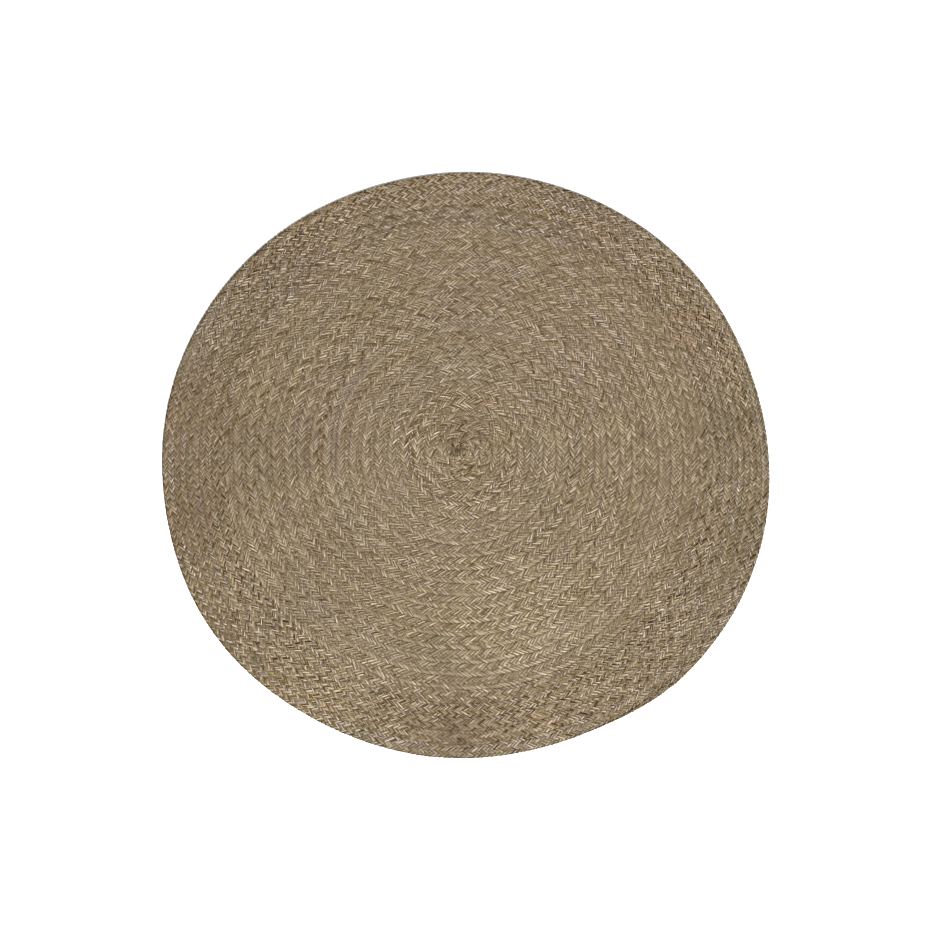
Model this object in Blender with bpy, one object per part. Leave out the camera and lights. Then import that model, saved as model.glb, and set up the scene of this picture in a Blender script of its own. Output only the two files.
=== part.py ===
"""Round plaited rush rug: one flat band, coiled from the middle and sewn edge to edge.

Metres, +Z up. The origin is the middle of the coil, on the flat underside.
The band winds outwards clockwise, seen from above, and its end tapers into the rim.
"""

import math
from collections import namedtuple

import bmesh
import bpy

# Driving dimensions
RIM_RADIUS = 0.7487        # from the middle to the rim, just past the band's end
EYE_RADIUS = 0.011         # from the middle to the first seam, at the bearing of the band's end
TURNS = 23                 # whole turns of the band between the eye and the rim
CROWN_HEIGHT = 0.008       # thickness over the body of the band
SEAM_HEIGHT = 0.0064       # thickness at the bottom of the sewn groove
EDGE_ROUND = 0.0012        # how far the rim's top and bottom edges are drawn in
EDGE_HEIGHT = 0.0034       # height at which the rim is widest
UNDER_HEIGHT = 0.0010      # height of the rounding under the rim

# Where the band's end lies, counter-clockwise from +X, and how the coil runs there
END_BEARING = 292.0        # degrees
JOG_FROM = 307.0           # degrees of clockwise turn past the end
JOG_TO = 354.0
JOG_SHARE_AT_RIM = 0.75    # part of a turn's growth that the outermost turn takes in the jog

# The band's last stretch stands proud of the rim, then is tucked in
TAIL_PROUD = 0.012
TAIL_RISE = (290.0, 326.0)   # degrees of clockwise turn past the end
TAIL_FALL = (338.0, 360.0)

# The hand-made rim is a little uneven: waves round the rim, their height and a crest's bearing
Lobe = namedtuple("Lobe", "waves height crest_deg")
LOBES = (
    Lobe(1, 0.0019, 0.0),
    Lobe(3, 0.0010, -28.0),
    Lobe(4, 0.0016, -33.0),
    Lobe(5, 0.0010, -7.0),
    Lobe(6, 0.0008, -22.0),
    Lobe(7, 0.0005, 2.0),
    Lobe(8, 0.0012, -6.0),
)
LOBES_FADE = 3             # the unevenness dies away inwards with this power of the turn

# The band's section: part of its width, and height there
SectionPoint = namedtuple("SectionPoint", "across height")
SECTION = (
    SectionPoint(0.0, SEAM_HEIGHT),
    SectionPoint(0.22, CROWN_HEIGHT),
    SectionPoint(0.78, CROWN_HEIGHT),
)

# Steps of the model
STEPS_ROUND = 72
FIRST_TURN = -2            # turns below 0 close over the middle
WELD = 0.00005

COLOUR = (0.30, 0.235, 0.145, 1.0)
ROUGHNESS = 0.85


def clear_scene():
    for thing in list(bpy.data.objects):
        bpy.data.objects.remove(thing, do_unlink=True)


def ease(value, low, high):
    """Smooth step from 0 at low to 1 at high."""
    share = min(max((value - low) / (high - low), 0.0), 1.0)
    return share * share * (3.0 - 2.0 * share)


def unevenness(bearing):
    return sum(
        lobe.height * math.cos(lobe.waves * (bearing - math.radians(lobe.crest_deg)))
        for lobe in LOBES
    )


def growth(turn, past_end):
    """Part of a pitch that a turn has grown by, at a clockwise angle past the band's end."""
    jog_share = JOG_SHARE_AT_RIM * (max(turn, 0.0) / TURNS) ** 2
    even_share = (1.0 - jog_share) * past_end / 360.0
    return even_share + jog_share * ease(past_end, JOG_FROM, JOG_TO)


def plain_top_radius():
    """Radius of the top's edge, without the unevenness and the tail."""
    return RIM_RADIUS - EDGE_ROUND - unevenness(math.radians(END_BEARING))


def band_pitch():
    return (plain_top_radius() - EYE_RADIUS) / TURNS


def seam_radius(turn, past_end, bearing):
    """Radius of the seam that starts this whole turn, at a clockwise angle past the end."""
    length_share = max(turn + past_end / 360.0, 0.0) / TURNS
    radius = EYE_RADIUS + band_pitch() * (turn + growth(turn, past_end))
    return radius + unevenness(bearing) * length_share ** LOBES_FADE


def tail_proud(past_end):
    return TAIL_PROUD * ease(past_end, *TAIL_RISE) * (1.0 - ease(past_end, *TAIL_FALL))


def row_place(turn, point, past_end):
    """Radius and height of a section point of the band, on this turn at this angle."""
    bearing = math.radians(END_BEARING - past_end)
    inner = seam_radius(turn, past_end, bearing)
    if turn == TURNS - 1:
        outer = plain_top_radius() + unevenness(bearing) + tail_proud(past_end)
    else:
        outer = seam_radius(turn + 1, past_end, bearing)
    width = outer - inner
    radius = max(inner + point.across * width, 0.0)
    crown = SEAM_HEIGHT + (CROWN_HEIGHT - SEAM_HEIGHT) * min(width / band_pitch(), 1.0)
    groove = (crown - min(point.height, crown)) * ease(radius, 0.0, EYE_RADIUS)
    return radius, crown - groove


def section_rows():
    """Every line that runs round the coil, from the middle out: its turn and section point."""
    rows = [(turn, point) for turn in range(FIRST_TURN, TURNS) for point in SECTION]
    rim = SectionPoint(1.0, SEAM_HEIGHT)
    return rows + [(TURNS - 1, rim)]


def wrap_into_coil(mesh, rows):
    """Bend a flat grid, one step along X for each step round, into the coiled top."""
    for vert in mesh.verts:
        past_end = 360.0 * round(vert.co.x) / STEPS_ROUND
        turn, point = rows[round(vert.co.y)]
        bearing = math.radians(END_BEARING - past_end)
        radius, height = row_place(turn, point, past_end)
        vert.co = (radius * math.cos(bearing), radius * math.sin(bearing), height)


def shift_rim(verts, outwards, height):
    """Move a ring of rim points out from the middle, and set its height."""
    for vert in verts:
        reach = math.hypot(vert.co.x, vert.co.y)
        factor = (reach + outwards) / reach
        vert.co = (vert.co.x * factor, vert.co.y * factor, height)


def close_under(mesh):
    """Turn the rim down in two soft steps and close the flat underside."""
    levels = (
        (EDGE_ROUND, EDGE_HEIGHT),
        (0.0, UNDER_HEIGHT),
        (-EDGE_ROUND, 0.0),
    )
    edge = [e for e in mesh.edges if e.is_boundary]
    for outwards, height in levels:
        made = bmesh.ops.extrude_edge_only(mesh, edges=edge)["geom"]
        edge = [item for item in made if isinstance(item, bmesh.types.BMEdge) and item.is_boundary]
        shift_rim({vert for e in edge for vert in e.verts}, outwards, height)
    bmesh.ops.contextual_create(mesh, geom=edge)


def make_material():
    material = bpy.data.materials.new("rush_plait")
    material.use_nodes = True
    shader = material.node_tree.nodes["Principled BSDF"]
    shader.inputs["Base Color"].default_value = COLOUR
    shader.inputs["Roughness"].default_value = ROUGHNESS
    shader.inputs["Metallic"].default_value = 0.0
    return material


def build_rug():
    rows = section_rows()
    last_row = len(rows) - 1
    mesh = bmesh.new()
    bmesh.ops.create_grid(mesh, x_segments=STEPS_ROUND, y_segments=last_row, size=1.0)
    for vert in mesh.verts:
        vert.co.x = (vert.co.x + 1.0) / 2.0 * STEPS_ROUND
        vert.co.y = (vert.co.y + 1.0) / 2.0 * last_row
    wrap_into_coil(mesh, rows)
    bmesh.ops.remove_doubles(mesh, verts=mesh.verts, dist=WELD)
    close_under(mesh)
    bmesh.ops.recalc_face_normals(mesh, faces=mesh.faces)
    data = bpy.data.meshes.new("rug")
    mesh.to_mesh(data)
    mesh.free()
    data.shade_smooth()
    data.set_sharp_from_angle(angle=math.radians(40.0))
    data.materials.append(make_material())
    return bpy.data.objects.new("rug", data)


def main():
    clear_scene()
    collection = bpy.data.collections.new("round_rug")
    bpy.context.scene.collection.children.link(collection)
    collection.objects.link(build_rug())


main()
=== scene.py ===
import math

import bmesh
import bpy
import numpy as np
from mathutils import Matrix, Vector


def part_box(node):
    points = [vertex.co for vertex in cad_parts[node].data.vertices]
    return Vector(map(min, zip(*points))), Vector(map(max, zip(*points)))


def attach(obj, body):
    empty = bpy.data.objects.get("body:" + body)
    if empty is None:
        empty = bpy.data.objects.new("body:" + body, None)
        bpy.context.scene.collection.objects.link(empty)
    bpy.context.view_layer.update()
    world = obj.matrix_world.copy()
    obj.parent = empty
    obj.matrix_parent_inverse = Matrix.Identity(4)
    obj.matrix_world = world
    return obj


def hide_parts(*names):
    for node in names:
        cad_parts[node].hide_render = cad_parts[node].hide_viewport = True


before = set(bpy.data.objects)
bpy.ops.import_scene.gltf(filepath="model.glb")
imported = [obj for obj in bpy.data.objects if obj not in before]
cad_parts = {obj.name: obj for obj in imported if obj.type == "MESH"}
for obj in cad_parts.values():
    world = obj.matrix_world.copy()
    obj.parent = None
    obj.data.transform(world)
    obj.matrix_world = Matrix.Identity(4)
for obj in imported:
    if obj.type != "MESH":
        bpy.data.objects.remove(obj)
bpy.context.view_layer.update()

rugLow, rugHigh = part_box("rug")
print("loaded the rug,", round(rugHigh.x - rugLow.x, 3), "m across")

# How the band is coiled, the same sizes as the solid has
coil = {
    "rimRadius": 0.7487,
    "eyeRadius": 0.011,
    "turns": 23,
    "start": -0.62,  # turns, where the band begins in the eye
    "edgeRound": 0.0012,
    "endBearing": 292.0,  # degrees, where the band's end is tucked in
    "jogFrom": 307.0,  # degrees of clockwise turn past the end
    "jogTo": 354.0,
    "jogShareAtRim": 0.75,
    "tailProud": 0.012,
    "tailRise": (290.0, 326.0),
    "tailFall": (338.0, 360.0),
    "lobes": (  # waves round the rim, height, bearing of a crest
        (1, 0.0019, 0.0),
        (3, 0.0010, -28.0),
        (4, 0.0016, -33.0),
        (5, 0.0010, -7.0),
        (6, 0.0008, -22.0),
        (7, 0.0005, 2.0),
        (8, 0.0012, -6.0),
    ),
    "lobesFade": 3,
    "firstTurn": -2,  # turns below 0 close over the middle
    "weld": 0.00005,
    "traceSteps": 24 * 720,
}


def ease(value, low, high):
    share = np.clip((value - low) / (high - low), 0.0, 1.0)
    return share * share * (3.0 - 2.0 * share)


def unevenness(bearing):
    total = 0.0 * bearing
    for waves, height, crest in coil["lobes"]:
        total = total + height * np.cos(waves * (bearing - math.radians(crest)))
    return total


plainTop = coil["rimRadius"] - coil["edgeRound"] - unevenness(math.radians(coil["endBearing"]))
pitch = (plainTop - coil["eyeRadius"]) / coil["turns"]


def bearingAt(turns):
    return np.radians(coil["endBearing"] - 360.0 * turns)


def seamRadius(turns):
    # the seam on the inner side of the band, this many turns from the eye
    whole = np.floor(turns)
    past = 360.0 * (turns - whole)
    jogShare = coil["jogShareAtRim"] * (np.maximum(whole, 0.0) / coil["turns"]) ** 2
    jog = ease(past, coil["jogFrom"], coil["jogTo"])
    growth = (1.0 - jogShare) * past / 360.0 + jogShare * jog
    fade = (np.maximum(turns, 0.0) / coil["turns"]) ** coil["lobesFade"]
    return coil["eyeRadius"] + pitch * (whole + growth) + unevenness(bearingAt(turns)) * fade


def bandEdges(turns):
    # inner and outer radius of the band; the last turn runs to the rim
    last = coil["turns"] - 1
    past = 360.0 * (turns - np.floor(turns))
    tail = ease(past, *coil["tailRise"]) * (1.0 - ease(past, *coil["tailFall"]))
    rim = plainTop + unevenness(bearingAt(turns)) + coil["tailProud"] * tail
    return seamRadius(turns), np.where(turns >= last, rim, seamRadius(turns + 1.0))


def onBand(turns, across, outwards=0.0):
    # x and y of a point part of the way across the band, and the band's width there
    inner, outer = bandEdges(turns)
    radius = np.maximum(inner + across * (outer - inner), 0.0) + outwards
    bearing = bearingAt(turns)
    return radius * np.cos(bearing), radius * np.sin(bearing), outer - inner


# Lengths along the band, from its start in the eye
traceTurns = np.linspace(coil["start"], coil["turns"] - 1e-6, coil["traceSteps"])
traceX, traceY, traceWidth = onBand(traceTurns, 0.5)
traceLength = np.concatenate(([0.0], np.cumsum(np.hypot(np.diff(traceX), np.diff(traceY)))))
bandLength = traceLength[-1]


def turnsAt(length):
    return np.interp(length, traceLength, traceTurns)


print("band traced:", round(bandLength, 1), "m long,", round(pitch * 1000, 1), "mm wide")

# The flat plait: strands of a few stems each, and which crossings a strand lies over
plait = {
    "strands": 7,
    "stemsInStrand": 3,
    "step": 0.0109,  # along the band, from one strand to the next
    "innerColumns": ((1, 0, 1), (-1, 2, 2), (1, 3, 3), (-1, 4, 5)),  # slope, first, last crossing
    "outerColumns": ((-1, 0, 0), (1, 1, 2), (-1, 3, 4), (1, 5, 5)),
    "outerFrom": 17.8,  # turns; a second length is joined on here
    "stemWidth": 0.87,  # part of a stem's share of the strand
    "strandGap": 0.76,  # how closely a strand's stems are drawn together
    "stemThick": 0.0017,
    "tuck": 0.25,  # how far an end runs under its neighbour, in crossings
    "edgeStart": -0.28,  # where the strands end at the band's edges
    "shoulder": 0.50,  # from a stem's end to where it is full, in crossings
    "mostShoulder": 0.29,  # and at most this part of its length
    "dip": 0.0030,  # depth of the tucked ends
    "strandCrown": 0.0018,
    "seamDrop": 0.0007,
    "seamReach": 0.80,  # crossings, how wide a seam's slope is
    "middleDrop": 0.0007,  # the narrow columns lie lower than the wide ones
    "lap": 0.0010,  # and a turn's outer edge lower than the next turn's inner edge
    "groove": 0.0007,  # how much deeper the seams are inside the rim
    "grooveFade": (1.4, 0.8),  # turns from the band's end
    "rimLead": 0.05,  # metres before the last turn, from where stems stop short at the rim
    "rimStop": 0.05,  # crossings that they stop short by
    "heightJitter": 0.00028,
    "sideJitter": 0.20,
    "widthJitter": 0.26,
    "lean": 1.16,  # how far a strand slopes in its float, beside the slope of the whole
    "endJitter": 0.20,
    "stemEndJitter": 0.18,
    "strandJitter": 0.06,
    "mostJitter": 2.2,
    "mostSink": 2.0,
    "clear": 0.006,  # metres round the very middle, where the eye's own stems lie
    "seed": 71,
}
plaitPieces = (  # name, from and to, in turns from the eye
    ("plait_middle", coil["start"], 10.3),
    ("plait_second", 10.3, 14.5),
    ("plait_third", 14.5, plait["outerFrom"]),
    ("plait_fourth", plait["outerFrom"], 20.6),
    ("plait_rim", 20.6, coil["turns"]),
)

# Colours of dried rush, linear: colour and how common it is
rush = {
    "kinds": (
        ("straw", (0.365, 0.310, 0.230), 0.08),
        ("khaki", (0.340, 0.279, 0.195), 0.27),
        ("reed", (0.296, 0.233, 0.152), 0.30),
        ("olive", (0.222, 0.168, 0.094), 0.16),
        ("umber", (0.099, 0.065, 0.029), 0.12),
        ("russet", (0.260, 0.188, 0.121), 0.04),
        ("heather", (0.262, 0.211, 0.150), 0.03),
    ),
    "stemLength": (0.30, 0.95),  # a stem shows for this long, then another is laid in
    "lengthTint": 0.07,
    "floatTint": 0.115,
    "mostFloatTint": 0.9,
    "stemTint": 0.05,
    "dullest": 0.5,  # the least light of a stem
    "palest": 0.42,  # and the most of any one of its colours
    "acrossShade": (1.25, 1.21, 0.83, 0.03),  # painted highlight at a strand's middle, painted shade toward its edge, by half stems
    "tipShade": (0.70, 0.95),  # painted shade at the tucked tips of its middle and side stems
    "deepTone": (0.98, 1.15, 2.05),  # what is dark is browner
    "paleTone": (0.86, 0.95, 1.30),  # and what is pale greyer
    "evenness": 0.85,  # how far the band's chance lighter and darker lengths are evened out
    "evenSteps": 4000,
    "gapVaries": 0.35,
    "shadeLimits": (0.04, 1.35),
    "tintLimits": (0.010, 0.95),
    # broad lighter and darker patches, partly the rush's own colour and partly painted light and
    # shade
    "patches": (  # bearing, distance from the middle, size, strength of red, green, blue
        (268.0, 0.70, 0.055, (-0.32, -0.39, -0.43)),
        (287.0, 0.47, 0.105, (0.20, 0.22, 0.23)),
        (282.0, 0.36, 0.120, (0.07, 0.07, 0.07)),
        (286.0, 0.69, 0.045, (0.20, 0.18, 0.16)),
        (239.0, 0.69, 0.105, (0.35, 0.34, 0.33)),
        (212.0, 0.62, 0.070, (0.08, 0.08, 0.08)),
        (226.0, 0.52, 0.090, (-0.14, -0.14, -0.15)),
        (350.0, 0.50, 0.080, (-0.10, -0.10, -0.11)),
        (303.0, 0.60, 0.060, (-0.07, -0.05, -0.09)),
        (300.0, 0.645, 0.040, (0.12, 0.11, 0.10)),
        (262.0, 0.51, 0.050, (-0.11, -0.08, -0.13)),
        (170.0, 0.70, 0.110, (-0.16, -0.24, -0.31)),
        (194.0, 0.71, 0.110, (-0.22, -0.29, -0.36)),
        (182.0, 0.50, 0.110, (-0.23, -0.22, -0.23)),
        (212.0, 0.40, 0.150, (-0.07, -0.07, -0.06)),
        (6.0, 0.65, 0.100, (-0.30, -0.30, -0.37)),
        (2.0, 0.34, 0.140, (-0.06, -0.06, -0.06)),
        (342.0, 0.68, 0.120, (-0.19, -0.21, -0.27)),
        (28.0, 0.66, 0.070, (-0.06, -0.13, -0.14)),
        (60.0, 0.68, 0.110, (0.02, -0.02, 0.04)),
        (93.0, 0.74, 0.110, (0.22, 0.20, 0.27)),
        (120.0, 0.69, 0.100, (0.18, 0.16, 0.20)),
        (90.0, 0.54, 0.050, (0.12, 0.12, 0.12)),
        (40.0, 0.42, 0.110, (-0.03, -0.05, 0.02)),
        (84.0, 0.44, 0.120, (-0.02, -0.04, 0.03)),
        (175.0, 0.34, 0.070, (-0.15, -0.18, -0.10)),
        (148.0, 0.34, 0.060, (-0.07, -0.10, -0.03)),
        (130.0, 0.62, 0.080, (-0.06, -0.08, -0.03)),
        (168.0, 0.028, 0.010, (-0.52, -0.52, -0.58)),
        (160.0, 0.013, 0.010, (-0.62, -0.62, -0.68)),
        (60.0, 0.004, 0.009, (-0.40, -0.41, -0.48)),
        (60.0, 0.055, 0.050, (-0.06, -0.11, -0.07)),
        (200.0, 0.060, 0.040, (0.03, -0.02, 0.03)),
    ),
    "usual": (0.296, 0.232, 0.147),
    "outerContrast": 1.60,
    "innerSides": ((1.5, 3.0, 4.0, 5.5), (1.02, 0.955, 0.965, 1.02)),  # columns, their light
    "outerSides": ((1.0, 2.5, 4.5, 6.0), (1.08, 1.08, 0.94, 0.92)),
    "outerTone": (0.945, 0.93, 0.905),
    "seed": 12,
}

# Where a stem's streaks and its baked colours lie
stemMap = {
    "ridge": 0.4,  # places round a stem: its left edge is 0 from above and 1 from below
    "right": 0.8,
    "margin": 0.12,
    "aspect": 2.2,  # how much longer than wide a stem's cell of the map is
}


def spindle(rings):
    # a closed spindle with three sides: its ridge is up, its poles are at 0 and 1 along it
    mesh = bmesh.new()
    bmesh.ops.create_uvsphere(mesh, u_segments=3, v_segments=rings + 1, radius=1.0)
    points = np.array([vert.co[:] for vert in mesh.verts])
    faces = [[vert.index for vert in face.verts] for face in mesh.faces]
    mesh.free()
    along = 1.0 - np.arccos(np.clip(points[:, 2], -1.0, 1.0)) / math.pi
    poles = (along < 0.01) | (along > 0.99)
    side = np.where(poles, 0.0, np.sign(np.round(points[:, 0], 3)))
    ridge = np.where(poles, 0.0, (points[:, 1] > 0.0) * 1.0)
    corners = []  # where each face corner lies in a stem's own map: along it, and round it
    for face in faces:
        rim = [index for index in face if not poles[index]]
        left = 0.0 if any(ridge[index] for index in rim) else 1.0
        around = {}
        for index in rim:
            edge = left if side[index] < 0 else stemMap["right"]
            around[index] = stemMap["ridge"] if ridge[index] else edge
        middle = sum(around.values()) / len(around)
        corners += [(along[index], around.get(index, middle)) for index in face]
    return {
        "faces": faces, "along": along, "poles": poles, "side": side, "ridge": ridge,
        "corners": np.array(corners),
    }


def joinedMesh(name, points, faces, count):
    # one mesh of many copies of a template: points is (copies, template points, 3)
    perCopy = points.shape[1]
    flat = np.concatenate([np.array(face) for face in faces])
    starts = np.cumsum([0] + [len(face) for face in faces])
    corners = (flat[None, :] + perCopy * np.arange(count)[:, None]).ravel()
    loopStart = (starts[None, :-1] + starts[-1] * np.arange(count)[:, None]).ravel()
    mesh = bpy.data.meshes.new(name)
    mesh.vertices.add(points.shape[0] * perCopy)
    mesh.vertices.foreach_set("co", points.astype(np.float32).ravel())
    mesh.loops.add(len(corners))
    mesh.loops.foreach_set("vertex_index", corners.astype(np.int32))
    mesh.polygons.add(len(loopStart))
    mesh.polygons.foreach_set("loop_start", loopStart.astype(np.int32))
    mesh.update(calc_edges=True)
    mesh.shade_smooth()
    return mesh


def atlas(count, corners):
    # each copy has its own cell of the map, with a margin round it
    columns = math.ceil(math.sqrt(count / stemMap["aspect"]))
    rows = math.ceil(count / columns)
    margin = stemMap["margin"]
    cell = np.arange(count)
    origin = np.stack([(cell % columns) / columns, (cell // columns) / rows], axis=1)
    size = np.array([1.0 / columns, 1.0 / rows])
    inside = margin + (1.0 - 2.0 * margin) * corners
    return (origin[:, None, :] + inside[None, :, :] * size).reshape(-1, 2)


def addMap(mesh, name, places):
    layer = mesh.uv_layers.new(name=name, do_init=False)
    layer.data.foreach_set("uv", places.astype(np.float32).ravel())


def addTint(mesh, tints):
    colours = np.concatenate([tints, np.ones(tints.shape[:2] + (1,))], axis=2)
    layer = mesh.color_attributes.new(name="tint", type="FLOAT_COLOR", domain="POINT")
    layer.data.foreach_set("color", colours.astype(np.float32).ravel())


def addPiece(name, mesh, material):
    mesh.materials.append(material)
    piece = bpy.data.objects.new(name, mesh)
    bpy.context.scene.collection.objects.link(piece)
    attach(piece, "root")
    return piece


# Nothing in it is quite even: slow waves in plan, and slow stretching along the band
uneven = {
    "waver": 0.0012,  # metres, seams in and out
    "waverLengths": (0.09, 0.34),
    "waverFull": (0.02, 0.10),  # metres from the middle
    "waverFade": (0.69, 0.735),
    "waverSeed": 5,
    "sway": 0.0011,  # metres, strands along the band, for each of the waves
    "swayLengths": (0.083, 0.131, 0.217, 0.389),
    # waves of how deep the painted shade between strands is
    "gapShadeLengths": (0.05, 0.16),
    "gapShadeSeed": 31,
    "toneLengths": (0.05, 0.22),
    "toneSeed": 8,
    "tone": 0.022,
    "waves": 9,
}


def ripple(x, y, lengths, seed):
    # a smooth field over the rug, about -1 to 1
    draw = np.random.default_rng(seed)
    total = 0.0
    for _ in range(uneven["waves"]):
        bearing, phase = draw.uniform(0.0, 2.0 * math.pi, 2)
        across = x * math.cos(bearing) + y * math.sin(bearing)
        total = total + np.cos(2.0 * math.pi * across / draw.uniform(*lengths) + phase)
    return total * math.sqrt(2.0 / uneven["waves"])


def placed(turns, across, outwards=0.0):
    # a point of the band in plan, with the seams' waver, which dies away at the rim and the eye
    x, y, width = onBand(turns, across, outwards)
    reach = np.hypot(x, y)
    fade = (1.0 - ease(reach, *uneven["waverFade"])) * ease(reach, *uneven["waverFull"])
    shift = uneven["waver"] * fade * ripple(x, y, uneven["waverLengths"], uneven["waverSeed"])
    factor = 1.0 + shift / np.maximum(reach, 0.001)
    return x * factor, y * factor, width


def bandHeight(crossing, width, turns):
    # height of the plait's top across the band: lower at the sewn edges and where the band narrows
    edge = np.minimum(crossing, plait["strands"] - crossing)
    atSeam = 1.0 - ease(edge, 0.0, plait["seamReach"])
    wave = np.cos(4.0 * math.pi * crossing / plait["strands"])
    drop = plait["seamDrop"] * atSeam + plait["middleDrop"] * (0.5 + 0.5 * wave)
    fadeFrom, fadeTo = plait["grooveFade"]
    inside = 1.0 - ease(turns, coil["turns"] - fadeFrom, coil["turns"] - fadeTo)
    drop = drop + inside * (plait["groove"] * atSeam + plait["lap"] * crossing / plait["strands"])
    narrow = 1.0 - np.clip(width / pitch, 0.0, 1.0)
    return rugHigh.z - drop - narrow * plait["seamDrop"]


def swayed(length):
    # turns at a length of the lattice, which runs a little ahead here and behind there
    for number, wave in enumerate(uneven["swayLengths"]):
        length = length + uneven["sway"] * np.sin(2.0 * math.pi * length / wave + number)
    return turnsAt(np.clip(length, 0.0, bandLength))


def onPlait(crossing, length):
    # x, y and the height of the top, at a place in the plait's own lattice
    turns = swayed(length)
    x, y, width = placed(turns, crossing / plait["strands"])
    return x, y, bandHeight(crossing, width, turns)


def stemKinds():
    # every rush in the band: where it ends along the band, and its colour
    draw = np.random.default_rng(rush["seed"])
    colours = np.array([colour for name, colour, share in rush["kinds"]])
    shares = np.array([share for name, colour, share in rush["kinds"]])
    table = []
    for rushNumber in range(plait["strands"] * plait["stemsInStrand"]):
        most = int(bandLength / rush["stemLength"][0]) + 2
        ends = np.cumsum(draw.uniform(*rush["stemLength"], most))
        kinds = draw.choice(len(shares), size=most, p=shares / shares.sum())
        light = 1.0 + rush["lengthTint"] * draw.standard_normal((most, 1))
        table.append((ends, colours[kinds] * light))
    return table


def patchTint(x, y):
    # broad, soft differences over the rug: partly the rush's own colour, partly painted light and
    # shade
    waves = ripple(x, y, uneven["toneLengths"], uneven["toneSeed"])
    factor = np.ones((len(x), 3)) + uneven["tone"] * waves[:, None]
    for bearing, reach, size, strength in rush["patches"]:
        angle = math.radians(bearing)
        away = (x - reach * math.cos(angle)) ** 2 + (y - reach * math.sin(angle)) ** 2
        factor += np.exp(-away / (size * size))[:, None] * np.array(strength)
    return factor


def toned(level):
    # lighter and darker by one level, in red, green and blue
    power = np.where(level[..., None] < 1.0, rush["deepTone"], rush["paleTone"])
    return level[..., None] ** power


rushTable = stemKinds()
levelPlaces = np.linspace(0.0, bandLength, rush["evenSteps"])
levelColours = [colours[np.searchsorted(ends, levelPlaces)] for ends, colours in rushTable]
rushLevel = np.mean(levelColours, axis=(0, 2))
plaitDraw = np.random.default_rng(plait["seed"])


def jitters(count, kinds):
    # chance differences of each stem or strand, the wildest cut off
    most = plait["mostJitter"]
    return np.clip(plaitDraw.standard_normal((count, kinds)), -most, most)


def columnFloats(slope, first, last, fromTurns, toTurns, tuck):
    # the strands that lie on top in one column of the plait, between two places along the band
    strands = plait["strands"]
    low, high = np.interp((fromTurns, toTurns), traceTurns, traceLength) / plait["step"]
    middle = 0.5 * (first + last) + 1.0
    lattice = np.arange(math.ceil(low - slope * middle / 2), math.ceil(high - slope * middle / 2))
    start = plait["edgeStart"] if first == 0 else first + 0.5 - tuck
    stop = strands - plait["edgeStart"] if last == strands - 2 else last + 1.5 + tuck
    jitter = jitters(len(lattice), 4)
    tint = rush["floatTint"] * np.minimum(jitter[:, 3], rush["mostFloatTint"])
    sides = rush["outerSides"] if fromTurns >= plait["outerFrom"] else rush["innerSides"]
    return {
        "lattice": lattice,
        "slope": np.full(len(lattice), slope),
        "start": start + plait["endJitter"] * jitter[:, 0],
        "stop": stop + plait["endJitter"] * jitter[:, 1],
        "slip": plait["strandJitter"] * jitter[:, 2],
        "light": np.interp(middle, *sides) + tint,
    }


def together(parts):
    return {key: np.concatenate([part[key] for part in parts]) for key in parts[0]}


def splitStrands(floats):
    # each strand's stems side by side; the ends step on with a stem's place in its strand
    strands = plait["strands"]
    split = []
    for number in range(plait["stemsInStrand"]):
        share = (number - (plait["stemsInStrand"] - 1) / 2) / plait["stemsInStrand"]
        shift = floats["slope"] * share
        start, stop = floats["start"], floats["stop"]
        part = dict(floats)
        part["start"] = np.where(start > 1.0, start - shift, start)
        part["stop"] = np.where(stop < strands - 1.0, stop - shift, stop)
        part["share"] = np.full(len(shift), share)
        part["rush"] = (floats["lattice"] % strands) * plait["stemsInStrand"] + number
        split.append(part)
    return together(split)


def alongFloat(floats, crossing):
    # length along the band where a float crosses; the strands lean in their floats
    middle = 0.5 * (floats["start"] + floats["stop"])[:, None]
    leaned = middle + plait["lean"] * (crossing - middle)
    strand = (floats["lattice"] + floats["slip"])[:, None]
    return plait["step"] * (strand + floats["slope"][:, None] * leaned / 2.0)


def alongStem(form, shoulder):
    # how far along its stem a template point lies: its two rings sit at the shoulders
    rings = np.where(form["along"] < 0.5, shoulder, 1.0 - shoulder)
    return np.where(form["poles"], form["along"], rings)


def stemPoints(floats, form):
    # every template point of every stem, wrapped onto the coiled band
    step = plait["step"]
    jitter = jitters(len(floats["lattice"]), 6)
    start = floats["start"] + plait["stemEndJitter"] * jitter[:, 0]
    stop = floats["stop"] + plait["stemEndJitter"] * jitter[:, 1]
    lastTurn = np.interp(coil["turns"] - 1, traceTurns, traceLength)
    ends = step * (floats["lattice"] + floats["slope"] * stop / 2.0)
    onRim = ends > lastTurn - plait["rimLead"]
    stop = np.where(onRim, np.minimum(stop, plait["strands"] - plait["rimStop"]), stop)
    shoulder = np.minimum(plait["shoulder"] / (stop - start), plait["mostShoulder"])[:, None]
    along = alongStem(form, shoulder)
    crossing = start[:, None] + along * (stop - start)[:, None]
    third = step / plait["stemsInStrand"]
    half = 0.5 * third * plait["stemWidth"] * (1.0 + plait["widthJitter"] * jitter[:, 2])
    sideways = third * plait["sideJitter"]
    offset = floats["share"] * step * plait["strandGap"] + sideways * jitter[:, 3]
    twist = sideways * jitter[:, 4]
    length = alongFloat(floats, crossing) + offset[:, None]
    length = length + twist[:, None] * (along - 0.5) - half[:, None] * form["side"]
    x, y, top = onPlait(crossing, length)
    top = top + plait["heightJitter"] * np.clip(jitter[:, 5, None], -plait["mostSink"], 0.0)
    top = top - plait["strandCrown"] * (1.0 - np.cos(np.pi * floats["share"]))[:, None]
    z = top - plait["stemThick"] * (1.0 - form["ridge"])
    z = np.where(form["poles"], top - plait["dip"], z)
    return np.stack([x, y, z], axis=2)


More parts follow.
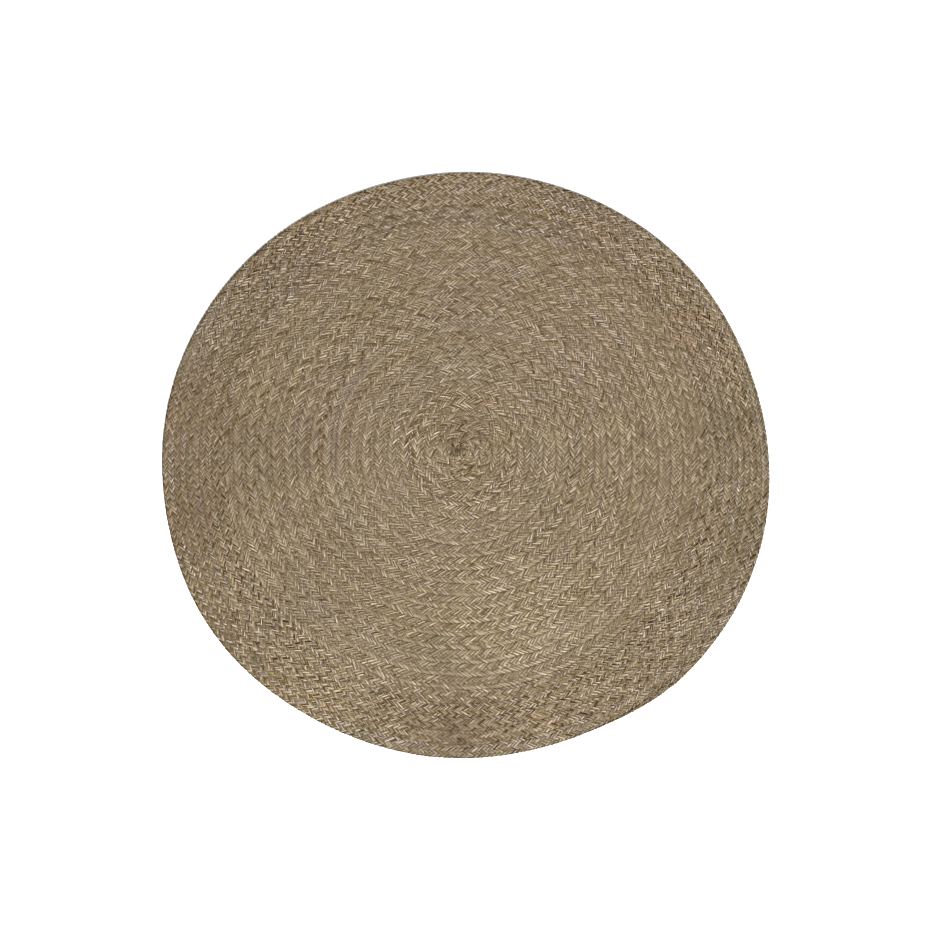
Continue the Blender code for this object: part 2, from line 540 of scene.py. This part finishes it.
def stemTints(floats, points, form):
    # the colour of each rush as it comes up, with broad differences over the rug, and painted
    # highlight and shade across each strand and at its tips
    x, y, z = points.mean(axis=1).T
    along = plait["step"] * floats["lattice"]
    tints = np.zeros((len(along), 3))
    for rushNumber, (ends, colours) in enumerate(rushTable):
        mine = floats["rush"] == rushNumber
        tints[mine] = colours[np.searchsorted(ends, np.maximum(along[mine], 0.0))]
    level = np.interp(along, levelPlaces, rushLevel / rushLevel.mean())
    tints = tints / level[:, None] ** rush["evenness"]
    outer = (along > np.interp(plait["outerFrom"], traceTurns, traceLength))[:, None]
    usual = np.array(rush["usual"])
    bolder = usual * (tints / usual) ** rush["outerContrast"] * np.array(rush["outerTone"])
    tints = np.where(outer, bolder, tints) * patchTint(x, y)
    light = floats["light"] + rush["stemTint"] * plaitDraw.standard_normal(len(along))
    tints = tints * toned(np.maximum(light, rush["dullest"]))
    tints = tints * np.minimum(1.0, rush["palest"] / tints.max(axis=1, keepdims=True))
    # the painted shade between strands is deeper in some places than in others
    gapShadeField = ripple(x, y, uneven["gapShadeLengths"], uneven["gapShadeSeed"])
    gapShadeDepth = 1.0 + rush["gapVaries"] * gapShadeField[:, None]
    # painted shade toward each strand's edges and at its tips, painted highlight at its middle
    across = np.abs(plait["stemsInStrand"] * floats["share"][:, None] + 0.5 * form["side"])
    shade = np.interp(across, (0.0, 0.5, 1.0, 1.5), rush["acrossShade"])
    tips = 1.0 - np.interp(across, (0.0, 1.0), rush["tipShade"])
    shade = 1.0 + (np.where(form["poles"], tips, shade) - 1.0) * gapShadeDepth
    shade = np.clip(shade * floats.get("wear", 1.0), *rush["shadeLimits"])
    return np.clip(tints[:, None, :] * toned(shade), *rush["tintLimits"])


def finishStems(name, floats, points, form, material, around=1.0):
    # around is how many stems' streaks run round each copy
    count = len(points)
    mesh = joinedMesh(name, points, form["faces"], count)
    addMap(mesh, "stem", np.tile(form["corners"] * (1.0, around), (count, 1)))
    addMap(mesh, "OFBake", atlas(count, form["corners"]))
    addTint(mesh, stemTints(floats, points, form))
    print(name, count, "stems")
    return addPiece(name, mesh, material)


def makePlait(name, fromTurns, toTurns, material):
    columns = plait["outerColumns"] if fromTurns >= plait["outerFrom"] else plait["innerColumns"]
    floats = [columnFloats(*column, fromTurns, toTurns, plait["tuck"]) for column in columns]
    floats = splitStrands(together(floats))
    form = spindle(2)
    points = stemPoints(floats, form)
    keep = np.hypot(points[:, :, 0], points[:, :, 1]).min(axis=1) > plait["clear"]
    floats = {key: value[keep] for key, value in floats.items()}
    return finishStems(name, floats, points[keep], form, material)


# The band's start, wound tight in the middle
eye = {
    "stems": 72,
    "radius": 0.020,
    "turn": 2.399963,  # radians from one stem to the next, so that they spread evenly
    "length": (0.009, 0.016),
    "shoulder": 0.2,  # part of a stem's length, from its end to where it is full
    "wide": 0.0024,
    "wideVaries": (0.8, 1.15),
    "slant": 0.42,  # radians to either side of the way round
    "slantVaries": (0.3, 1.2),
    "startSize": 0.0065,  # inside this the stems lie one way, where the band begins
    "startLie": 0.15,
    "top": 0.0004,  # below the rug's top
    "hollow": 0.0009,  # how much lower the very middle lies
    "sink": 0.0007,
    "dip": 0.0012,  # depth of the ends
    "tint": 0.12,
    "sideShare": 0.33,  # two stems of three are shaded as the sides of a strand
    "seed": 41,
}


def makeEye(material):
    draw = np.random.default_rng(eye["seed"])
    count = eye["stems"]
    number = np.arange(count)
    form = spindle(2)
    reach = eye["radius"] * np.sqrt((number + 0.5) / count)
    bearing = -eye["turn"] * number
    lie = np.where(reach < eye["startSize"], eye["startLie"], bearing - math.pi / 2)
    slant = eye["slant"] * draw.uniform(*eye["slantVaries"], count)
    lie = (lie + np.where(number % 2 == 0, slant, -slant))[:, None]
    along = alongStem(form, eye["shoulder"]) - 0.5
    forward = draw.uniform(*eye["length"], count)[:, None] * along
    sideways = -0.5 * eye["wide"] * form["side"] * draw.uniform(*eye["wideVaries"], (count, 1))
    x = (reach * np.cos(bearing))[:, None] + forward * np.cos(lie) + sideways * np.sin(lie)
    y = (reach * np.sin(bearing))[:, None] + forward * np.sin(lie) - sideways * np.cos(lie)
    top = rugHigh.z - eye["top"] - eye["hollow"] * (1.0 - reach / eye["radius"])
    top = (top - draw.uniform(0.0, eye["sink"], count))[:, None]
    z = top - plait["stemThick"] * (1.0 - form["ridge"]) - eye["dip"] * form["poles"]
    floats = {
        "lattice": np.zeros(count),
        "rush": number % len(rushTable),
        "light": 1.0 + eye["tint"] * draw.standard_normal(count),
        "share": np.where(number % plait["stemsInStrand"] == 0, 0.0, eye["sideShare"]),
    }
    return finishStems("plait_eye", floats, np.stack([x, y, z], axis=2), form, material)


# The strands as they show on the underside
underside = {
    "innerColumns": ((-1, 0, 1), (1, 2, 2), (-1, 3, 3), (1, 4, 5)),  # as in the plait
    "outerColumns": ((1, 0, 0), (-1, 1, 2), (1, 3, 4), (-1, 5, 5)),
    "start": 0.7,  # turns
    "stop": 0.1,  # crossings short of the band's outer edge
    "tuck": 0.55,
    "height": 0.0018,  # of a strand's edges; its ridge lies on the floor
    "tucked": 0.0026,
    "wide": 1.04,  # part of a strand's step
}


def makeUnderside(material):
    step = plait["step"]
    joined = plait["outerFrom"]
    spans = [(column, underside["start"], joined) for column in underside["innerColumns"]]
    spans += [(column, joined, coil["turns"]) for column in underside["outerColumns"]]
    floats = together([columnFloats(*column, *span, underside["tuck"]) for column, *span in spans])
    form = spindle(1)
    floats["share"] = np.zeros(len(floats["slope"]))
    stems = plait["stemsInStrand"]
    floats["rush"] = (floats["lattice"] % plait["strands"]) * stems + stems // 2
    start = np.maximum(floats["start"], 0.0)[:, None]
    stop = np.minimum(floats["stop"], plait["strands"] - underside["stop"])[:, None]
    crossing = start + form["along"] * (stop - start)
    length = alongFloat(floats, crossing) + 0.5 * step * underside["wide"] * form["side"]
    x, y, top = onPlait(crossing, length)
    z = np.where(form["poles"], underside["tucked"], underside["height"] * (1.0 - form["ridge"]))
    points = np.stack([x, y, np.broadcast_to(z, x.shape)], axis=2)
    return finishStems("plait_under", floats, points, form, material, stems)


# The stems turn round the rim to the underside
fold = {
    "thick": 0.0011,
    "wide": 1.02,  # part of a stem's share of the strand
    "wideVaries": 0.12,
    "shift": 0.1,
    "tuck": 0.4,
    "stop": 0.004,  # turns short of the band's end
    "inset": 0.0022,  # of the middle of the turn, from the edge of the top
    "reach": 0.0034,
    "top": 0.0066,
    "past": 26.0,  # degrees that the ends run on at the top and the underside
    "lean": 0.70,  # how far along the rim a stem goes as it turns, in steps of the plait
    "leanFrom": 0.2,  # part of its length at which it is level with its place in the plait
    "reachJitter": 0.00030,
    "dark": (0.30, 0.86),  # painted shade on the turned side, least and most, and the bearing where most
    "darkBearing": 160.0,
    "darkTurn": (-15.0, 55.0),  # degrees round the fold, from no painted shade to full
}


def makeFolds(material):
    step = plait["step"]
    turns = coil["turns"]
    row = plait["strands"] - 2
    floats = columnFloats(1, row, row, turns - 1, turns - fold["stop"], fold["tuck"])
    floats = splitStrands(floats)
    form = spindle(4)
    jitter = plaitDraw.standard_normal((len(floats["lattice"]), 3))
    third = step / plait["stemsInStrand"]
    past = math.radians(fold["past"])
    angle = -past + form["along"] * (math.pi + 2.0 * past)
    half = 0.5 * third * fold["wide"] * (1.0 + fold["wideVaries"] * jitter[:, 0, None])
    atEdge = floats["lattice"] + floats["slip"] + plait["strands"] / 2.0
    length = step * (atEdge[:, None] + fold["lean"] * (form["along"] - fold["leanFrom"]))
    offset = floats["share"] * step * plait["strandGap"] + third * fold["shift"] * jitter[:, 1]
    length = length + offset[:, None] - half * form["side"]
    deep = fold["thick"] * (1.0 - form["ridge"]) + np.where(form["poles"], fold["thick"], 0.0)
    reach = fold["reach"] - deep + fold["reachJitter"] * jitter[:, 2, None]
    x, y, width = placed(swayed(length), 1.0, reach * np.sin(angle) - fold["inset"])
    z = 0.5 * fold["top"] + (0.5 * fold["top"] - deep) * np.cos(angle)
    points = np.stack([x, y, np.broadcast_to(z, x.shape)], axis=2)
    # painted shade on the rim's turned side, deepest towards one bearing
    bearing = np.arctan2(y.mean(axis=1), x.mean(axis=1))
    shadedSide = 0.5 + 0.5 * np.cos(bearing - math.radians(fold["darkBearing"]))
    depth = fold["dark"][0] + (fold["dark"][1] - fold["dark"][0]) * shadedSide
    floats["wear"] = 1.0 - depth[:, None] * ease(np.degrees(angle), *fold["darkTurn"])
    return finishStems("rim_folds", floats, points, form, material)


class Wire:
    # a shader socket that takes part in Python sums
    def __init__(self, finish, socket):
        self.finish = finish
        self.socket = socket

    def sum(self, operation, *values):
        sockets = dict(enumerate(values))
        return self.finish.node("ShaderNodeMath", {"operation": operation}, sockets)

    def __add__(self, other):
        return self.sum("ADD", self, other)

    def __sub__(self, other):
        return self.sum("SUBTRACT", self, other)

    def __rsub__(self, other):
        return self.sum("SUBTRACT", other, self)

    def __mul__(self, other):
        return self.sum("MULTIPLY", self, other)

    __radd__ = __add__
    __rmul__ = __mul__

    def floor(self):
        return self.sum("FLOOR", self)

    def size(self):
        return self.sum("ABSOLUTE", self)

    def over(self, limit):
        return self.sum("GREATER_THAN", self, limit)

    def under(self, limit):
        return self.sum("LESS_THAN", self, limit)


class Finish:
    # a material, and the one way its nodes are made
    def __init__(self, name):
        self.material = bpy.data.materials.new(name)
        self.material.use_nodes = True
        self.tree = self.material.node_tree
        self.shader = self.tree.nodes["Principled BSDF"]

    def node(self, kind, settings, values, output=0):
        made = self.tree.nodes.new(kind)
        for name, value in settings.items():
            setattr(made, name, value)
        for socket, value in values.items():
            self.feed(made.inputs[socket], value)
        return Wire(self, made.outputs[output])

    def feed(self, socket, value):
        if isinstance(value, Wire):
            self.tree.links.new(value.socket, socket)
        else:
            socket.default_value = value

    def set(self, name, value):
        self.feed(self.shader.inputs[name], value)

    def objectPlace(self):
        return self.node("ShaderNodeTexCoord", {}, {}, "Object")

    def mapPlace(self, name):
        # the two parts of a place in one of the piece's own maps
        place = self.node("ShaderNodeUVMap", {"uv_map": name}, {})
        parted = self.node("ShaderNodeSeparateXYZ", {}, {0: place})
        return parted, Wire(self, parted.socket.node.outputs[1])

    def noise(self, place, scale, detail, roughness):
        values = {"Vector": place, "Scale": scale, "Detail": detail, "Roughness": roughness}
        return self.node("ShaderNodeTexNoise", {"noise_dimensions": "3D"}, values)

    def rise(self, value, low, high, start, stop):
        values = {
            "Value": value, "From Min": low, "From Max": high, "To Min": start, "To Max": stop,
        }
        return self.node("ShaderNodeMapRange", {"interpolation_type": "SMOOTHSTEP"}, values)

    def mix(self, share, first, second):
        # sockets 6 and 7 take the colours, and output 2 gives the mixed one
        values = {0: share, 6: first, 7: second}
        return self.node("ShaderNodeMix", {"data_type": "RGBA"}, values, 2)

    def bump(self, height, strength, distance):
        values = {"Strength": strength, "Distance": distance, "Height": height}
        self.set("Normal", self.node("ShaderNodeBump", {}, values))


stemFinish = {
    "streaksAlong": 2.2,
    "streaksAround": 11.0,
    "streakDepth": 0.30,
    "streakDetail": (2.0, 0.6),  # detail and roughness of the noise
    "drift": 60.0,  # per metre, so that no two stems have the same streaks
    "flankShade": (0.64, 0.56, 0.47, 1.0),  # painted shade low on a stem's flanks, next to its neighbours
    "flankShadeFrom": (0.08, 0.4),
    "mottle": 42.0,  # per metre
    "mottleDepth": 0.16,
    "mottleDetail": (2.0, 0.5),
    "bump": 0.35,
    "bumpDistance": 0.0004,
    "roughness": 0.62,
    "roughnessVaries": 0.25,
    "specular": 0.12,
}


def stemMaterial():
    finish = Finish("rush_stems")
    tint = finish.node("ShaderNodeVertexColor", {"layer_name": "tint"}, {})
    along, around = finish.mapPlace("stem")
    onRug = finish.objectPlace()
    onStem = finish.node("ShaderNodeCombineXYZ", {}, {
        "X": along * stemFinish["streaksAlong"],
        "Y": around * stemFinish["streaksAround"],
    })
    drifted = finish.node("ShaderNodeVectorMath", {"operation": "MULTIPLY_ADD"}, {
        0: onRug, 1: (stemFinish["drift"], stemFinish["drift"], 0.0), 2: onStem,
    })
    streaks = finish.noise(drifted, 1.0, *stemFinish["streakDetail"])
    mottle = finish.noise(onRug, stemFinish["mottle"], *stemFinish["mottleDetail"])
    # painted shade low on the stem's flanks
    fromRidge = (around - stemMap["ridge"]).size()
    flankShade = finish.rise(fromRidge, *stemFinish["flankShadeFrom"], 1.0, 0.0)
    deep = finish.mix(flankShade, stemFinish["flankShade"], (1.0, 1.0, 1.0, 1.0))
    shaded = finish.node("ShaderNodeVectorMath", {"operation": "MULTIPLY"}, {0: tint, 1: deep})
    shade = 1.0 + (streaks - 0.5) * (2.0 * stemFinish["streakDepth"])
    shade = shade * (1.0 + (mottle - 0.5) * (2.0 * stemFinish["mottleDepth"]))
    scaling = {0: shaded, "Scale": shade}
    finish.set("Base Color", finish.node("ShaderNodeVectorMath", {"operation": "SCALE"}, scaling))
    rough = stemFinish["roughness"] + (streaks - 0.5) * stemFinish["roughnessVaries"]
    finish.set("Roughness", rough)
    finish.bump(streaks, stemFinish["bump"], stemFinish["bumpDistance"])
    finish.set("Specular IOR Level", stemFinish["specular"])
    return finish.material


# the sheet shows only in the gaps between stems: its dark colour is painted shade there, its light
# colour painted light on the ridges and crowns
bodyFinish = {
    "light": (0.255, 0.195, 0.115, 1.0),
    "dark": (0.034, 0.021, 0.009, 1.0),
    "ridges": 0.6,  # height of the stems, beside the strands' crowns
    "crowns": 0.5,
    "lightByHeight": 0.75,
    "mottle": 60.0,  # per metre
    "mottleDepth": 0.5,
    "mottleDetail": (3.0, 0.6),
    "bump": 0.8,
    "bumpDistance": 0.0012,
    "roughness": 0.8,
}


def bodyMaterial():
    finish = Finish("rush_body")
    along, crossing = finish.mapPlace("band")
    up = along - crossing * 0.5 + 0.5  # numbers the strands that run outwards
    down = along + crossing * 0.5 + 0.5  # and those that run inwards
    gap = down.floor() - up.floor() - 1.0  # which crossing it is, and so which of them is over
    upOver = gap.under(1.5) + gap.over(2.5) * gap.under(3.5)
    upShare = up - up.floor()
    downShare = down - down.floor()
    acrossStrand = upShare * upOver + downShare * (1.0 - upOver)
    alongStrand = downShare * upOver + upShare * (1.0 - upOver)
    stems = acrossStrand * plait["stemsInStrand"]
    ridge = 1.0 - (stems - stems.floor() - 0.5).size() * 2.0
    crown = 1.0 - (alongStrand - 0.5).size() * 2.0
    height = ridge * bodyFinish["ridges"] + crown * bodyFinish["crowns"]
    onRug = finish.objectPlace()
    mottle = finish.noise(onRug, bodyFinish["mottle"], *bodyFinish["mottleDetail"])
    # painted shade low between the ridges and crowns and painted light on them, with a random
    # mottle of tone
    level = height * bodyFinish["lightByHeight"] + (mottle - 0.5) * bodyFinish["mottleDepth"]
    finish.set("Base Color", finish.mix(level, bodyFinish["dark"], bodyFinish["light"]))
    finish.set("Roughness", bodyFinish["roughness"])
    finish.bump(height, bodyFinish["bump"], bodyFinish["bumpDistance"])
    return finish.material


# The band under the stems: one closed sheet, wrapped into the coil as the solid is
body = {
    "stepsRound": 180,
    "topRows": (0.0, 0.12, 0.36, 0.64, 0.88),
    "underRows": (0.0, 0.5),
    "below": 0.0027,  # its top lies this far under the stems' tops
    "thinnest": 0.0012,
    "inset": 0.0022,  # and its rim this far inside theirs
    "rim": ((0.0006, 0.0044), (0.0, 0.0036), (0.0, 0.0024)),  # further inset, height
    "underInset": 0.0008,
    "under": 0.0014,  # height of its underside
    "mapScale": 0.31,  # of the bake's map, to a metre
    "mapRim": 0.006,  # metres that each row of the rim adds to it
}


def bodyRows():
    # turn, part of the band's width, outwards, height (None follows the band), over or under
    rows = []
    for turn in range(coil["firstTurn"], coil["turns"]):
        rows += [(turn, across, 0.0, None, 0) for across in body["topRows"]]
    last = coil["turns"] - 1
    rows += [(last, 1.0, -body["inset"] - inset, height, 0) for inset, height in body["rim"]]
    rows.append((last, 1.0, -body["inset"] - body["underInset"], body["under"], 1))
    for turn in range(last, coil["firstTurn"] - 1, -1):
        rows += [(turn, across, 0.0, body["under"], 1) for across in reversed(body["underRows"])]
    return rows


def bodyPlaces(rows):
    # where the points of each row lie, and their places in the plait's lattice
    steps = body["stepsRound"]
    past = np.minimum(np.linspace(0.0, 1.0, steps + 1), 1.0 - 1e-9)
    places = np.zeros((len(rows), steps + 1, 3))
    lattice = np.zeros((len(rows), steps + 1, 2))
    for number, (turn, across, outwards, height, side) in enumerate(rows):
        turns = turn + past
        x, y, width = placed(turns, across, outwards)
        crossing = across * plait["strands"]
        top = bandHeight(crossing, width, turns) - body["below"]
        top = np.maximum(top, body["under"] + body["thinnest"])
        z = top if height is None else np.full(steps + 1, height)
        places[number] = np.stack([x, y, z], axis=1)
        lattice[number, :, 0] = np.interp(turns, traceTurns, traceLength) / plait["step"]
        lattice[number, :, 1] = crossing
    return places, lattice


def bakePlace(place, side, pastRim):
    # in the bake's map the top is at the left and the underside at the right
    x, y, z = place
    spread = 1.0 + body["mapRim"] * pastRim / math.hypot(x, y) if pastRim > 0 else 1.0
    scale = body["mapScale"] * spread
    return 0.25 + 0.5 * side + scale * x, 0.5 + scale * y


def makeBody(material):
    rows = bodyRows()
    steps = body["stepsRound"]
    places, lattice = bodyPlaces(rows)
    mesh = bmesh.new()
    bmesh.ops.create_grid(mesh, x_segments=steps, y_segments=len(rows) - 1, size=1.0)
    grid = {}
    for vert in mesh.verts:
        column = round((vert.co.x + 1.0) / 2.0 * steps)
        row = round((vert.co.y + 1.0) / 2.0 * (len(rows) - 1))
        grid[vert.index] = (row, column)
    rimRow = len(body["topRows"]) * (coil["turns"] - coil["firstTurn"])
    bandLayer = mesh.loops.layers.uv.new("band")
    bakeLayer = mesh.loops.layers.uv.new("OFBake")
    for face in mesh.faces:
        corners = [grid[loop.vert.index] for loop in face.loops]
        side = rows[min(corners)[0]][-1]
        for loop, (row, column) in zip(face.loops, corners):
            pastRim = row - rimRow if side == 0 else 0
            loop[bandLayer].uv = lattice[row, column]
            loop[bakeLayer].uv = bakePlace(places[row, column], side, pastRim)
    for vert in mesh.verts:
        vert.co = places[grid[vert.index]]
    bmesh.ops.remove_doubles(mesh, verts=mesh.verts, dist=coil["weld"])
    bmesh.ops.recalc_face_normals(mesh, faces=mesh.faces)
    data = bpy.data.meshes.new("plait_body")
    mesh.to_mesh(data)
    mesh.free()
    data.shade_smooth()
    piece = addPiece("plait_body", data, material)
    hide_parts("rug")
    print("plait_body", len(data.polygons), "faces")
    return piece


stemsFinish = stemMaterial()
plaitBody = makeBody(bodyMaterial())
stemPieces = [makePlait(*part, stemsFinish) for part in plaitPieces]
stemPieces += [makeEye(stemsFinish), makeUnderside(stemsFinish), makeFolds(stemsFinish)]

# A pale floor that runs out of the picture
floor = {"size": 24.0, "drop": 0.0006, "colour": (0.93, 0.93, 0.93, 1.0), "roughness": 0.9}


def makeFloor():
    finish = Finish("floor")
    finish.set("Base Color", floor["colour"])
    finish.set("Roughness", floor["roughness"])
    mesh = bmesh.new()
    bmesh.ops.create_grid(mesh, x_segments=1, y_segments=1, size=floor["size"] / 2.0)
    for vert in mesh.verts:
        vert.co.z = -floor["drop"]
    data = bpy.data.meshes.new("floor")
    mesh.to_mesh(data)
    mesh.free()
    data.materials.append(finish.material)
    piece = bpy.data.objects.new("floor", data)
    bpy.context.scene.collection.objects.link(piece)


makeFloor()

lights = (  # name, place, size, watts, colour
    ("key", (1.8, -6.1, 6.0), 1.6, 1890.0, (0.995, 0.998, 1.03)),
    ("fill", (-1.4, 1.8, 3.4), 3.0, 30.0, (0.97, 0.985, 1.0)),
)
for name, place, size, watts, colour in lights:
    data = bpy.data.lights.new(name, "AREA")
    data.shape = "DISK"
    data.size = size
    data.energy = watts
    data.color = colour
    lamp = bpy.data.objects.new(name, data)
    lamp.location = place
    lamp.rotation_euler = (-Vector(place)).to_track_quat("-Z", "Y").to_euler()
    bpy.context.scene.collection.objects.link(lamp)

studio = {"colour": (1.0, 0.97, 0.90, 1.0), "strength": 0.29}
world = bpy.data.worlds.new("studio")
world.use_nodes = True
background = world.node_tree.nodes["Background"]
background.inputs["Color"].default_value = studio["colour"]
background.inputs["Strength"].default_value = studio["strength"]
bpy.context.scene.world = world
bpy.context.scene.view_settings.view_transform = "Standard"

# The camera, from the photo's own perspective
lens = {
    "place": (0.005, -1.100, 3.893),
    "target": (0.005, -0.038, 0.006),
    "focal": 63.2,
    "sensor": 36.0,
    "farthest": 60.0,
}
cameraData = bpy.data.cameras.new("camera")
cameraData.lens = lens["focal"]
cameraData.sensor_width = lens["sensor"]
cameraData.clip_end = lens["farthest"]
camera = bpy.data.objects.new("camera", cameraData)
camera.location = lens["place"]
look = Vector(lens["target"]) - Vector(lens["place"])
camera.rotation_euler = look.to_track_quat("-Z", "Y").to_euler()
bpy.context.scene.collection.objects.link(camera)
bpy.context.scene.camera = camera
print("lit, and the camera set")
